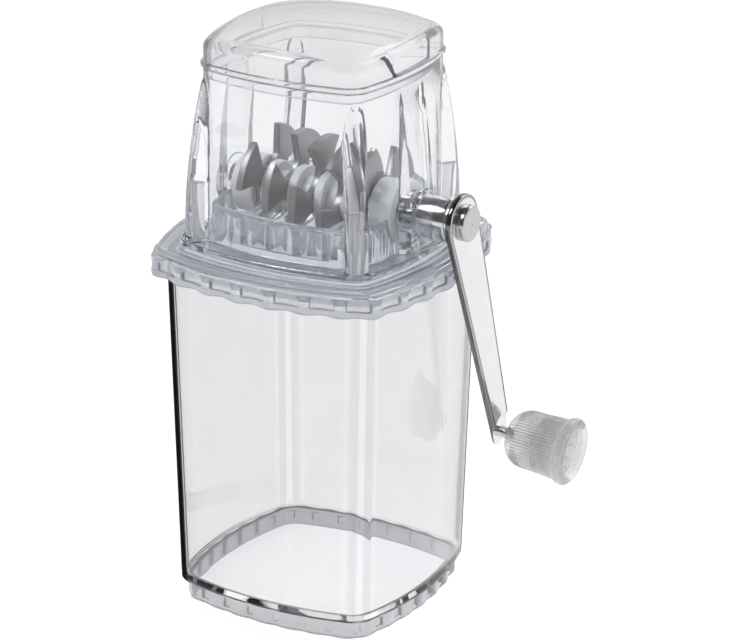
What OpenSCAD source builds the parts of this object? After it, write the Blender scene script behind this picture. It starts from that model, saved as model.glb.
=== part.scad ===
// Hand-cranked ice crusher: clear tapered container, crusher head with bladed rotor,
// clear hopper with a domed lid, and a side crank with a free-turning knob.
// Origin: middle of the foot on the resting plane. +Z up, +X the crank side, -Y the front.

/* [Plan outline] */
// Radius of the gently bowed sides, seen from above
bow_r = 137; // [110:1:220]
// Corner radius of the container
corner_r = 11; // [8:0.5:14]

/* [Container] */
// Height of the foot ring
foot_h = 8; // [6:0.5:12]
// Half width of the foot ring at mid side
foot_m = 48.6; // [46:0.1:49.6]
// Half width of the container at its bottom
base_m = 51.2; // [51:0.1:52.5]
// Half width of the container at its rim
rim_m = 55.4; // [54:0.1:55.8]
// Height of the container rim
rim_z = 154.6; // [150:0.1:156]
// Wall thickness of the container
wall = 2.6; // [2:0.1:3]

/* [Collar] */
// Half width of the collar skirt at mid side
skirt_m = 61.4; // [61:0.1:63]
// Height of the skirt
skirt_h = 8.6; // [7:0.1:10]
// Depth of the waves round skirt and foot
wave = 0.5; // [0.2:0.1:0.8]
// Waves in a quarter of the outline
waves = 7; // [5:1:9]

/* [Hopper] */
// Half width of the hopper wall at mid side
hopper_m = 41; // [40:0.1:42]
// Top edge of the hopper
hopper_top = 231.4; // [225:0.1:235]
// Radius of the corner pillars
pillar_r = 4.7; // [4:0.1:5]
// Distance of a pillar foot from the middle, along the diagonal
pillar_d = 52.6; // [52:0.1:53]
// Radius of the arc along which the pillars lean in
pillar_arc = 290; // [270:1:310]

/* [Lid] */
// Half width of the lid rim at mid side
lid_m = 42.1; // [41.8:0.1:43]
// Overall height of the machine
total_h = 250; // [248:0.5:252]
// Radius of the domed lid top
dome_r = 127; // [110:1:140]

/* [Rotor] */
// Height of the shaft above the table
shaft_z = 173.6; // [173:0.1:174]
// Radius of the shaft
shaft_r = 5; // [4.5:0.1:5.2]
// Spacing of the blades along the shaft
blade_pitch = 12.5; // [12:0.1:12.6]
// Radius to the blade corners
blade_r = 25; // [22:0.1:25]
// Thickness of a blade
blade_t = 3; // [2.5:0.1:3.2]
// Turn from one blade to the next, in degrees
blade_step = 18; // [0:1:30]

/* [Crank] */
// Distance from the shaft to the knob pin
arm_len = 111.2; // [90:0.1:115]
// Lean of the arm from straight down towards the back, in degrees
arm_lean = 19.8; // [0:0.1:30]
// Droop of the knob pin, in degrees
pin_droop = 5; // [0:0.5:6]
// Radius of the chrome sleeve
sleeve_r = 9.4; // [9:0.1:10]
// Length of the knob
knob_len = 29.5; // [26:0.1:31]

/* [Hidden] */
$fn = 96;
eps = 0.01;
gap = 0.3;
fit = 0.05;

floor_t = 2.8;
foot_t = 2.2;

skirt_top = 154.1;
skirt_r = corner_r - 3;
skirt_t = 1.9;
window_w = 7;
window_h = 5;
window_t = 0.7;
window_up = 5.2;
locator_m = rim_m - wall - 0.6;
locator_h = 5.5;
locator_t = 1.8;
shoulder_m = 59.3;
shoulder_t = 1.6;
ledge_z = 156.4;
shoulder_z = 157.2;
plate_z = rim_z + gap;
hopper_base = ledge_z + 1;
hopper_flange_m = 50.2;
flange_t = 1.6;
tray_m = 37.6;
tray_top = 173.8;
tray_wall = 1.8;
rib_pitch = 9.4;
rib_r = 0.9;
peg_r = 1.9;
peg_top = 184;
comb_z = 160;
comb_h = 11;
comb_y = 33.4;
comb_half = 24;
tine_t = 2.4;
tine_y = 6;
hopper_wall = 2;
bead_h = 2.4;
bead_t = 1.4;
pillar_z = 160;
pillar_bore = 2.9;
pillar_bore_top = 196;
panel_half = 9.4;
panel_foot_x = 46.4;
panel_arc = 420;
lid_z = hopper_top + 0.4;
lid_rim_t = 2.2;
lid_wall_m = 41;
lid_wall = 2.2;
plug_depth = 5;
plug_t = 1.6;
plug_gap = 10;
blades = 5;
hub_r = 11;
hub_t = 4;
spacer_r = 7;
drum_r = 12.4;
drum_end = 36.8;
flange_x = 37.5;
notch_r = drum_r + 0.9;
bush_r = 7.5;
bush_flange_r = 9;
boss_r = 10.6;
boss_x = 47;
idle_boss_x = 46.6;
idle_end_t = 2;
bite_r = 8.6;
bite_d = 0.72 * blade_r;
sleeve_x = 47.4;
washer_x = 60.8;
arm_x = 62.6;
arm_t = 2.8;
arm_face = arm_x + arm_t;
arm_top_r = 11.6;
arm_end_r = 6;
cap_r = 7.5;
cap_t = 3.6;
pin_r = 2.5;
pin_recess = 1.6;
recess_r = 9;
pin_len = 19.5;
retainer_r = 4.2;
retainer_t = 1.6;
knob_gap = 3.6;
knob_r = 12.4;
knob_ring_r = 14.4;
knob_end = knob_gap + knob_len;
knob_nose = 9;
knob_nose_r = 5;
knob_web = 17;
knob_bore = 9.8;
first_blade = -blade_pitch * (blades - 1) / 2;

clear = [0.86, 0.9, 0.93, 0.45];
tinted = [0.75, 0.78, 0.87, 0.6];
light_plastic = [0.84, 0.85, 0.87];
blade_grey = [0.42, 0.43, 0.45];
chrome_tone = [0.78, 0.79, 0.8];

// Square with bowed sides: m half width at mid side, rc corner radius, rb side radius
function corner_at(m, rc, rb) =
    let (b = rb - m) (sqrt(2 * pow(rb - rc, 2) - b * b) - b) / 2;
function side_angle(m, rc, rb) = asin(corner_at(m, rc, rb) / (rb - rc));
function turned(p, a) = [p.x * cos(a) - p.y * sin(a), p.x * sin(a) + p.y * cos(a)];

function outline(m, rc, inset = 0, ns = 8, nc = 6) =
    let (rb = bow_r - inset, mm = m - inset, rr = rc - inset)
    let (c = corner_at(mm, rr, rb), a = side_angle(mm, rr, rb))
    [for (k = [0 : 3])
        each concat(
            [for (i = [0 : ns]) let (t = a * (2 * i / ns - 1))
                turned([mm - rb + rb * cos(t), rb * sin(t)], 90 * k)],
            [for (i = [1 : nc - 1]) let (t = a + (90 - 2 * a) * i / nc)
                turned([c + rr * cos(t), c + rr * sin(t)], 90 * k)])];

// The same square with even waves along it, and the place of one point on it
function wave_at(m, rc, s, amp) =
    let (c = corner_at(m, rc, bow_r), a = side_angle(m, rc, bow_r))
    let (side = 2 * a * PI / 180 * bow_r, corner = (90 - 2 * a) * PI / 180 * rc)
    let (len = s * (side + corner), on_side = len < side)
    let (t = on_side ? 2 * a * len / side - a : a + (90 - 2 * a) * (len - side) / corner)
    let (push = amp * cos(360 * waves * s))
    on_side ? [m - bow_r + (bow_r + push) * cos(t), (bow_r + push) * sin(t), t]
        : [c + (rc + push) * cos(t), c + (rc + push) * sin(t), t];

function wavy(m, rc, amp, steps = 6) =
    [for (k = [0 : 3]) for (i = [0 : waves * steps - 1])
        turned(wave_at(m, rc, i / (waves * steps), amp), 90 * k)];

module slab(points, z0, z1) {
    translate([0, 0, z0])
        linear_extrude(z1 - z0)
            polygon(points);
}

module along_x(x0, x1, r) {
    translate([x0, 0, shaft_z])
        rotate([0, 90, 0])
            cylinder(r = r, h = x1 - x0);
}

module ring_x(x0, x1, r, bore) {
    difference() {
        along_x(x0, x1, r);
        along_x(x0 - 1, x1 + 1, bore);
    }
}

// Container and foot

module foot_ring() {
    color(clear)
    difference() {
        slab(wavy(foot_m, corner_r, wave), 0, foot_h);
        slab(outline(foot_m - wave, corner_r, foot_t), -1, foot_h + 1);
    }
}

module container() {
    color(clear)
    difference() {
        hull() {
            slab(outline(base_m - 1, corner_r), foot_h, foot_h + eps);
            slab(outline(base_m, corner_r), foot_h + 1, foot_h + 1 + eps);
            slab(outline(rim_m, corner_r), rim_z - eps, rim_z);
        }
        hull() {
            slab(outline(base_m, corner_r, wall), foot_h + floor_t, foot_h + floor_t + eps);
            slab(outline(rim_m, corner_r, wall), rim_z + 1, rim_z + 1 + eps);
        }
    }
}

// Crusher head

module collar_windows() {
    for (k = [0 : 3], i = [0 : waves - 1]) {
        at = wave_at(skirt_m, skirt_r, (i + 0.5) / waves, 0);
        rotate([0, 0, 90 * k])
            translate([at.x, at.y, skirt_top - skirt_h + window_up])
                rotate([0, 0, at.z])
                    cube([2 * (window_t + wave), window_w, window_h], center = true);
    }
}

module collar() {
    skirt_foot = skirt_top - skirt_h;
    color(tinted)
    difference() {
        union() {
            slab(wavy(skirt_m, skirt_r, wave), skirt_foot, skirt_top);
            slab(outline(shoulder_m, corner_r - 2), skirt_top - eps, shoulder_z);
        }
        difference() {
            slab(outline(skirt_m - wave, skirt_r, skirt_t), skirt_foot - 1, plate_z);
            slab(outline(locator_m, corner_r - wall), plate_z - locator_h, plate_z + 1);
        }
        slab(outline(locator_m, corner_r - wall, locator_t), skirt_foot - 1, plate_z);
        slab(outline(tray_m, corner_r - 4), plate_z - 1, shoulder_z + 1);
        slab(outline(shoulder_m, corner_r - 2, shoulder_t), ledge_z, shoulder_z + 1);
        collar_windows();
    }
}

module tray_ribs() {
    for (k = [0 : 3], i = [-3 : 3]) {
        y = i * rib_pitch;
        rotate([0, 0, 90 * k])
            translate([tray_m - bow_r + sqrt(bow_r * bow_r - y * y) - 0.3, y, hopper_base])
                cylinder(r = rib_r, h = tray_top - hopper_base - 1.4, $fn = 24);
    }
}

module tray() {
    color(tinted)
    union() {
        difference() {
            union() {
                slab(outline(hopper_flange_m - 1, corner_r - 2), ledge_z, hopper_base);
                slab(outline(tray_m, corner_r - 4), ledge_z, tray_top);
                tray_ribs();
            }
            slab(outline(tray_m, corner_r - 4, tray_wall), ledge_z - 1, tray_top + 1);
            along_x(-tray_m - 5, tray_m + 5, notch_r);
        }
        for (a = [45 : 90 : 315])
            rotate([0, 0, a])
                translate([pillar_d - 0.4, 0, ledge_z])
                    cylinder(r = peg_r, h = peg_top - ledge_z, $fn = 32);
    }
}

// Fixed comb on one side: dir is -1 for the front, 1 for the rear
module comb(dir) {
    top = comb_z + comb_h;
    first_tine = first_blade + (hub_t + blade_pitch) / 2;
    color(tinted)
    union() {
        intersection() {
            slab(outline(tray_m, corner_r - 4, tray_wall), comb_z, top);
            translate([-comb_half, dir * (comb_y + 5) - 5, comb_z])
                cube([2 * comb_half, 10, comb_h]);
        }
        for (i = [0 : blades - 2]) {
            x = first_tine + i * blade_pitch;
            difference() {
                translate([x + tine_t / 2, 0, 0])
                    rotate([90, 0, -90])
                        linear_extrude(tine_t)
                            polygon([[-dir * comb_y, comb_z], [-dir * comb_y, top],
                                [-dir * tine_y, top + 1], [-dir * tine_y, comb_z + 6]]);
                along_x(x - tine_t, x + tine_t, spacer_r + 0.8);
            }
        }
    }
}

module comb_front() {
    comb(-1);
}

module comb_rear() {
    comb(1);
}

// A corner pillar or the hollow in it: a round bar along an arc that leans in
module leaning_bar(r, z0, z1) {
    intersection() {
        slab([[-70, -70], [70, -70], [70, 70], [-70, 70]], z0, z1);
        for (a = [45 : 90 : 315])
            rotate([0, 0, a])
                translate([pillar_d - pillar_arc, 0, pillar_z])
                    rotate([90, 0, 0])
                        rotate([0, 0, -2])
                            rotate_extrude(angle = 18)
                                translate([pillar_arc, 0])
                                    circle(r = r, $fn = 48);
    }
}

module bearing_panels() {
    for (side = [0, 180])
        rotate([0, 0, side])
            intersection() {
                translate([hopper_m - 2, -panel_half, hopper_base])
                    cube([10, 2 * panel_half, hopper_top - hopper_base - 6]);
                translate([panel_foot_x - panel_arc, 40, hopper_base])
                    rotate([90, 0, 0])
                        cylinder(r = panel_arc, h = 80, $fn = 360);
            }
}

module hopper() {
    color(clear)
    difference() {
        union() {
            slab(outline(hopper_m, corner_r - 1), hopper_base, hopper_top);
            slab(outline(hopper_flange_m, corner_r - 2), hopper_base, hopper_base + flange_t);
            difference() {
                slab(outline(hopper_flange_m, corner_r - 2), hopper_base, hopper_base + bead_h);
                slab(outline(hopper_flange_m, corner_r - 2, bead_t), hopper_base, hopper_base + 3);
            }
            leaning_bar(pillar_r, hopper_base, hopper_top - 1);
            bearing_panels();
            along_x(hopper_m - 2, boss_x, boss_r);
            along_x(-idle_boss_x, 2 - hopper_m, boss_r);
        }
        slab(outline(hopper_m, corner_r - 1, hopper_wall), hopper_base - 1, hopper_top + 1);
        leaning_bar(pillar_bore, hopper_base - 1, pillar_bore_top);
        along_x(hopper_m - 5, boss_x + 1, bush_r);
        along_x(idle_end_t - idle_boss_x, 5 - hopper_m, bush_r);
        along_x(hopper_m - 5, hopper_m - hopper_wall, bush_flange_r + gap);
        along_x(hopper_wall - hopper_m, 5 - hopper_m, bush_flange_r + gap);
    }
}

module bush_crank() {
    color(clear)
    difference() {
        union() {
            along_x(flange_x, hopper_m - hopper_wall, bush_flange_r);
            along_x(hopper_m - hopper_wall - eps, boss_x, bush_r);
        }
        along_x(flange_x - 1, boss_x + 1, shaft_r + fit);
    }
}

module bush_idle() {
    color(clear)
    difference() {
        union() {
            along_x(hopper_wall - hopper_m, -flange_x, bush_flange_r);
            along_x(idle_end_t - idle_boss_x, hopper_wall - hopper_m + eps, bush_r);
        }
        along_x(-idle_boss_x, 1 - flange_x, shaft_r + fit);
    }
}

// Lid

module lid() {
    plug_inset = hopper_wall + 0.4;
    color(clear)
    difference() {
        union() {
            slab(outline(lid_m, corner_r), lid_z, lid_z + lid_rim_t);
            intersection() {
                slab(outline(lid_wall_m, corner_r - 1), lid_z, total_h + 1);
                translate([0, 0, total_h - dome_r])
                    sphere(r = dome_r, $fn = 180);
            }
            slab(outline(hopper_m, corner_r - 1, plug_inset), lid_z - plug_depth, lid_z + 1);
        }
        intersection() {
            slab(outline(hopper_m, corner_r - 1, plug_inset + plug_t), lid_z - plug_depth - 1,
                total_h);
            translate([0, 0, total_h - dome_r])
                sphere(r = dome_r - lid_wall, $fn = 180);
        }
        for (a = [30, 120, 210, 300])
            rotate([0, 0, a])
                translate([30, -plug_gap / 2, lid_z - plug_depth - 1])
                    cube([20, plug_gap, plug_depth + 1]);
    }
}

// Rotor

module shaft() {
    color(chrome_tone)
    along_x(-idle_boss_x + 3, arm_face, shaft_r);
}

// Blade plate: a disc with four round bites that leave four two-pointed arms
module blade(i) {
    x = first_blade + (i - 1) * blade_pitch;
    color(blade_grey)
    difference() {
        along_x(x - blade_t / 2, x + blade_t / 2, blade_r);
        along_x(x - blade_t, x + blade_t, shaft_r);
        for (a = [45 : 90 : 315])
            translate([x, 0, shaft_z])
                rotate([a + blade_step * (i - 3), 0, 0])
                    translate([-blade_t, 0, bite_d])
                        rotate([0, 90, 0])
                            cylinder(r = bite_r, h = 2 * blade_t);
    }
}

module hub(i) {
    x = first_blade + (i - 1) * blade_pitch + blade_t / 2;
    color(light_plastic)
    ring_x(x, x + hub_t, hub_r, shaft_r);
}

module spacer(i) {
    x = first_blade + (i - 1) * blade_pitch + blade_t / 2 + hub_t;
    color(light_plastic)
    ring_x(x, x + blade_pitch - blade_t - hub_t, spacer_r, shaft_r);
}

module drum_idle() {
    color(light_plastic)
    ring_x(-drum_end, first_blade - blade_t / 2, drum_r, shaft_r);
}

module drum_drive() {
    color(light_plastic)
    ring_x(-first_blade + blade_t / 2, drum_end, drum_r, shaft_r);
}

// Crank

module sleeve() {
    color(chrome_tone)
    ring_x(sleeve_x, washer_x, sleeve_r, shaft_r);
}

module arm_washer() {
    color(chrome_tone)
    ring_x(washer_x, arm_x, sleeve_r + 0.8, shaft_r);
}

// Places its children on the arm: the shaft centre at the origin, the arm along -Z
module on_arm() {
    translate([arm_x, 0, shaft_z])
        rotate([arm_lean, 0, 0])
            children();
}

module on_pin() {
    on_arm()
        translate([0, 0, -arm_len])
            translate([arm_t, 0, 0])
                rotate([0, pin_droop, 0])
                    children();
}

// Plate with two round ends joined by tangent sides
module arm_plate(steps = 36) {
    reach = acos((arm_top_r - arm_end_r) / arm_len);
    rotate([0, 90, 0])
        linear_extrude(arm_t)
            polygon(concat(
                [for (i = [0 : steps]) let (t = reach + (360 - 2 * reach) * i / steps)
                    arm_top_r * [cos(t), sin(t)]],
                [for (i = [0 : steps]) let (t = reach * (2 * i / steps - 1))
                    [arm_len, 0] + arm_end_r * [cos(t), sin(t)]]));
}

module crank_arm() {
    color(chrome_tone)
    difference() {
        on_arm()
            arm_plate();
        along_x(arm_x - 1, arm_face + 1, shaft_r);
        on_pin()
            rotate([0, 90, 0]) {
                translate([0, 0, -arm_t - 2])
                    cylinder(r = pin_r, h = arm_t + 4);
                translate([0, 0, -pin_recess])
                    cylinder(r = recess_r, h = 4);
            }
    }
}

module cap() {
    color(chrome_tone)
    along_x(arm_face, arm_face + cap_t, cap_r);
}

module knob_pin() {
    color(chrome_tone)
    on_pin()
        rotate([0, 90, 0])
            translate([0, 0, -arm_t - 0.6])
                cylinder(r = pin_r, h = arm_t + 0.6 + pin_len);
}

module knob_retainer() {
    color(chrome_tone)
    on_pin()
        rotate([0, 90, 0])
            difference() {
                translate([0, 0, knob_web + gap])
                    cylinder(r = retainer_r, h = retainer_t);
                cylinder(r = pin_r, h = pin_len);
            }
}

module knob() {
    color(clear)
    on_pin()
        rotate([0, 90, 0])
            difference() {
                rotate_extrude()
                    polygon(concat(
                        [[0, knob_gap]],
                        [for (i = [0 : 8]) let (t = 90 * i / 8)
                            [knob_nose_r + (knob_r - knob_nose_r) * sin(t),
                                knob_gap + knob_nose * (1 - cos(t))]],
                        [[knob_r, knob_end - 6.5], [knob_ring_r - 0.9, knob_end - 6],
                            [knob_ring_r, knob_end - 4], [knob_ring_r, knob_end - 2.2],
                            [knob_ring_r - 1.4, knob_end - 0.4], [knob_ring_r - 2.4, knob_end],
                            [0, knob_end]]));
                cylinder(r = pin_r + fit, h = knob_end);
                translate([0, 0, knob_web])
                    cylinder(r = knob_bore, h = knob_end);
            }
}

foot_ring();
container();
collar();
tray();
comb_front();
comb_rear();
hopper();
bush_crank();
bush_idle();
lid();
shaft();
blade(1);  // blade_1
blade(2);  // blade_2
blade(3);  // blade_3
blade(4);  // blade_4
blade(5);  // blade_5
hub(1);  // hub_1
hub(2);  // hub_2
hub(3);  // hub_3
hub(4);  // hub_4
spacer(1);  // spacer_1
spacer(2);  // spacer_2
spacer(3);  // spacer_3
spacer(4);  // spacer_4
drum_idle();
drum_drive();
sleeve();
arm_washer();
crank_arm();
cap();
knob_pin();
knob_retainer();
knob();
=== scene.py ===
"""Hand-cranked ice crusher: smooth clear mouldings, chrome crank and steel blades over the CAD frame."""
from math import acos, asin, cos, hypot, pi, radians, sin, sqrt

import bmesh
import bpy
from mathutils import Matrix, Vector


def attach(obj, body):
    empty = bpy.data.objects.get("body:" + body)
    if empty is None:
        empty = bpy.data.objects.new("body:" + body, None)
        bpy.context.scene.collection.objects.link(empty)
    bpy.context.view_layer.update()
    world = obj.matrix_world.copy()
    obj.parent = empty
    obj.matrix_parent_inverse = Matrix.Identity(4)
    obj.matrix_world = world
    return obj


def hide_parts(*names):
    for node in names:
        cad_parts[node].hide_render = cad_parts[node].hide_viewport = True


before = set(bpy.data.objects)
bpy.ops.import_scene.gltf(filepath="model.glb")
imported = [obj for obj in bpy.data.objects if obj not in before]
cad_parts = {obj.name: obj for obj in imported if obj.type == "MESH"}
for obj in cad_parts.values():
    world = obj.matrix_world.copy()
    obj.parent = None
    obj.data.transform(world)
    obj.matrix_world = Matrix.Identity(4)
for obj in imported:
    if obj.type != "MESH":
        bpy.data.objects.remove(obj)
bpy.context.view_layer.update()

MM = 0.001

# ---------------------------------------------------------------- plan outlines, in mm

BOW_R = 137.0
CORNER_R = 11.0
SIDE_STEPS = 40
CORNER_STEPS = 28


def corner_at(m, rc):
    """X and Y of the corner arc's centre, for a square m from middle to side."""
    b = BOW_R - m
    return (sqrt(2 * (BOW_R - rc) ** 2 - b * b) - b) / 2


def turned(x, y, quarter):
    """The point (x, y) after a number of quarter turns."""
    for _ in range(quarter):
        x, y = -y, x
    return x, y


def circle(x, y, r, steps, z):
    """A level round loop."""
    turns = [2 * pi * i / steps for i in range(steps)]
    return [(x + r * cos(t), y + r * sin(t), z) for t in turns]


def perimeter(m, rc, extra=()):
    """Points round a square with bowed sides, each with its outward normal; extra adds side points."""
    c = corner_at(m, rc)
    a = asin(c / (BOW_R - rc))
    side = [a * (2 * i / SIDE_STEPS - 1) for i in range(SIDE_STEPS + 1)]
    side = sorted(side + [asin(y / BOW_R) for y in extra])
    out = []
    for k in range(4):
        for t in side:
            x, y = m - BOW_R + BOW_R * cos(t), BOW_R * sin(t)
            out.append((*turned(x, y, k), *turned(cos(t), sin(t), k)))
        for i in range(1, CORNER_STEPS):
            t = a + (pi / 2 - 2 * a) * i / CORNER_STEPS
            x, y = c + rc * cos(t), c + rc * sin(t)
            out.append((*turned(x, y, k), *turned(cos(t), sin(t), k)))
    return out


def even_perimeter(m, rc, steps):
    """The same square at even spacing: each point has its normal and how far round its quarter it is."""
    c = corner_at(m, rc)
    a = asin(c / (BOW_R - rc))
    side, corner = 2 * a * BOW_R, (pi / 2 - 2 * a) * rc
    out = []
    for k in range(4):
        for i in range(steps):
            s = i / steps
            run = s * (side + corner)
            if run < side:
                t = 2 * a * run / side - a
                x, y = m - BOW_R + BOW_R * cos(t), BOW_R * sin(t)
            else:
                t = a + (pi / 2 - 2 * a) * (run - side) / corner
                x, y = c + rc * cos(t), c + rc * sin(t)
            out.append((*turned(x, y, k), *turned(cos(t), sin(t), k), s))
    return out


def ring(points, inset, z):
    """A level loop, moved in along the normals. inset and z may depend on the point."""
    loop = []
    for i, p in enumerate(points):
        d = inset(i, p) if callable(inset) else inset
        h = z(i, p) if callable(z) else z
        loop.append((p[0] - d * p[2], p[1] - d * p[3], h))
    return loop


def fillet(r, steps, start, sweep):
    """Offsets round an arc of radius r, from the angle start through sweep."""
    for i in range(steps + 1):
        t = radians(start + sweep * i / steps)
        yield r * cos(t), r * sin(t)


# ---------------------------------------------------------------- meshes and pieces


def smooth(x):
    """An S-curve from 0 at 0 to 1 at 1."""
    x = min(max(x, 0.0), 1.0)
    return x * x * (3 - 2 * x)


def box_step(x, half, soft):
    """1 where x is within half of zero, 0 beyond, with a soft edge."""
    return smooth((half - abs(x)) / soft + 0.5)


def loft(loops, closed=False, cap=True):
    """Faces that join one loop to the next; closed joins the last to the first, cap fills both ends."""
    n = len(loops[0])
    verts = [v for loop in loops for v in loop]
    faces = []
    last = len(loops) if closed else len(loops) - 1
    for j in range(last):
        a, b = j * n, ((j + 1) % len(loops)) * n
        faces += [(a + i, a + (i + 1) % n, b + (i + 1) % n, b + i) for i in range(n)]
    if cap and not closed:
        faces.append(tuple(range(n))[::-1])
        top = (len(loops) - 1) * n
        faces.append(tuple(range(top, top + n)))
    return verts, faces


def together(*parts):
    """Several solids as one mesh."""
    verts, faces = [], []
    for v, f in parts:
        base = len(verts)
        verts += v
        faces += [tuple(i + base for i in face) for face in f]
    return verts, faces


def placed(name, data):
    """A new object in the scene."""
    obj = bpy.data.objects.new(name, data)
    bpy.context.scene.collection.objects.link(obj)
    return obj


def shade(mesh, sharp):
    """Smooth shading, with edges steeper than sharp degrees kept crisp."""
    mesh.polygons.foreach_set("use_smooth", [True] * len(mesh.polygons))
    mesh.set_sharp_from_angle(angle=radians(sharp))


def new_mesh(name, part, marks=(), weld=True, turn_out=True):
    """A mesh in metres from vertices and faces in millimetres."""
    mesh = bpy.data.meshes.new(name)
    mesh.from_pydata([Vector(v) * MM for v in part[0]], [], part[1])
    if marks:
        mesh.polygons.foreach_set("material_index", marks)
    bm = bmesh.new()
    bm.from_mesh(mesh)
    if weld:
        bmesh.ops.remove_doubles(bm, verts=bm.verts, dist=1e-7)
    if turn_out:
        bmesh.ops.recalc_face_normals(bm, faces=bm.faces)
    bm.to_mesh(mesh)
    bm.free()
    return mesh


def piece(name, part, body, material, nodes=(), sharp=38, turn_out=True, marks=(), more=()):
    """A visual piece on a body. marks picks a material for each face: 0 is material, 1 and up are more."""
    mesh = new_mesh(name, part, marks, turn_out=turn_out)
    shade(mesh, sharp)
    obj = placed(name, mesh)
    for each in (material, *more):
        mesh.materials.append(each)
    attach(obj, body)
    if nodes:
        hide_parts(*nodes)
    return obj


def lathe(profile, place, steps=96, radius=None, closed=False):
    """A turned shape: profile holds (along, radius) pairs from end to end, on the X axis of place."""
    loops = []
    for u, r in profile:
        loop = []
        for i in range(steps):
            t = 2 * pi * i / steps
            rr = radius(u, r, t) if radius else r
            loop.append(tuple(place @ Vector((u, rr * cos(t), rr * sin(t)))))
        loops.append(loop)
    return loft(loops, closed)


def ring_part(profile, place, steps=96, radius=None):
    """A turned shape with a hole: the profile is a closed loop."""
    return lathe(profile, place, steps, radius, closed=True)


def barrel(x0, x1, r, edge):
    """The outline of a bar with rounded ends, for lathe."""
    pts = [(x0 + edge - dx, r - edge + dy) for dx, dy in fillet(edge, 4, 0, 90)]
    pts += [(x1 - edge + dy, r - edge + dx) for dx, dy in fillet(edge, 4, 0, 90)]
    return pts


def tube(x0, x1, r, bore, edge):
    """The outline of a sleeve with rounded outer ends, for ring_part."""
    return [(x0, bore)] + barrel(x0, x1, r, edge) + [(x1, bore)]


def stacked(outline, steps, place):
    """A flat plate on the X axis of place: steps holds (x, inset) pairs, outline(inset) the (y, z) loop."""
    return loft([[tuple(place @ Vector((x, y, z))) for y, z in outline(inset)] for x, inset in steps])


def plate(outline, x0, x1, edge, place):
    """A flat plate with softened edges, from x0 to x1."""
    steps = [(x0 + edge - dx, edge - dy) for dx, dy in fillet(edge, 4, 0, 90)]
    steps += [(x1 - edge + dx, edge - dy) for dx, dy in fillet(edge, 4, 90, -90)]
    return stacked(outline, steps, place)


# ---------------------------------------------------------------- materials


def new_material(name, color, **values):
    mat = bpy.data.materials.new(name)
    mat.use_nodes = True
    tree = mat.node_tree
    bsdf = tree.nodes["Principled BSDF"]
    bsdf.inputs["Base Color"].default_value = (*color, 1)
    for key, value in values.items():
        bsdf.inputs[key.replace("_", " ")].default_value = value
    return mat, tree, bsdf


def node(tree, kind, **inputs):
    made = tree.nodes.new(kind)
    for key, value in inputs.items():
        made.inputs[key.replace("_", " ")].default_value = value
    return made


def object_space(tree, scale=(1, 1, 1)):
    """The object coordinate, squeezed by scale."""
    coord = tree.nodes.new("ShaderNodeTexCoord")
    mapping = tree.nodes.new("ShaderNodeMapping")
    mapping.inputs["Scale"].default_value = scale
    tree.links.new(coord.outputs["Object"], mapping.inputs["Vector"])
    return mapping.outputs["Vector"]


def ramp(tree, source, stops):
    """A colour ramp over source; stops holds (position, colour) pairs."""
    made = tree.nodes.new("ShaderNodeValToRGB")
    tree.links.new(source, made.inputs["Fac"])
    elements = made.color_ramp.elements
    while len(elements) < len(stops):
        elements.new(0.5)
    for element, (at, color) in zip(elements, stops):
        element.position = at
        element.color = (*color, 1) if len(color) == 3 else color
    return made.outputs["Color"]


def grey(v):
    return (v, v, v)


def scaled(color, share):
    return tuple(share * c for c in color)


def evenly(color):
    """Ramp stops that stay close to one colour, or to one grey given as a number."""
    color = grey(color) if isinstance(color, float) else color
    return [(0.0, color), (1.0, scaled(color, 0.97))]


def noise(tree, vector, scale, detail=3.0, rough=0.5):
    made = node(tree, "ShaderNodeTexNoise", Scale=scale, Detail=detail, Roughness=rough)
    tree.links.new(vector, made.inputs["Vector"])
    return made.outputs["Fac"]


def bump(tree, bsdf, height, strength, distance):
    made = node(tree, "ShaderNodeBump", Strength=strength, Distance=distance)
    tree.links.new(height, made.inputs["Height"])
    tree.links.new(made.outputs["Normal"], bsdf.inputs["Normal"])


def maths(tree, operation, *values):
    """One math node; each value is a number or a socket."""
    made = tree.nodes.new("ShaderNodeMath")
    made.operation = operation
    for socket, value in zip(made.inputs, values):
        if isinstance(value, float):
            socket.default_value = value
        else:
            tree.links.new(value, socket)
    return made.outputs[0]


def times(tree, one, two):
    """The product of two colours."""
    made = node(tree, "ShaderNodeMix")
    made.data_type = "RGBA"
    made.blend_type = "MULTIPLY"
    made.inputs["Factor"].default_value = 1.0
    tree.links.new(one, made.inputs["A"])
    tree.links.new(two, made.inputs["B"])
    return made.outputs["Result"]


def blend(tree, share, one, two):
    """A shader that goes from one to two as share goes from 0 to 1."""
    made = tree.nodes.new("ShaderNodeMixShader")
    tree.links.new(share, made.inputs["Fac"])
    tree.links.new(one, made.inputs[1])
    tree.links.new(two, made.inputs[2])
    return made.outputs[0]


def parts_of(tree, kind):
    """The X, Y and Z of the object coordinate, the generated coordinate or the normal."""
    split = tree.nodes.new("ShaderNodeSeparateXYZ")
    tree.links.new(tree.nodes.new("ShaderNodeTexCoord").outputs[kind], split.inputs[0])
    return split.outputs


BAND_SCALE = 60.0


def corner_off(tree):
    """How far a point is from the nearest diagonal plane: 1 stands for 1/60 m."""
    place = parts_of(tree, "Object")
    x = maths(tree, "ABSOLUTE", place["X"])
    y = maths(tree, "ABSOLUTE", place["Y"])
    off = maths(tree, "ABSOLUTE", maths(tree, "SUBTRACT", x, y))
    return maths(tree, "MULTIPLY", off, BAND_SCALE)


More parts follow.
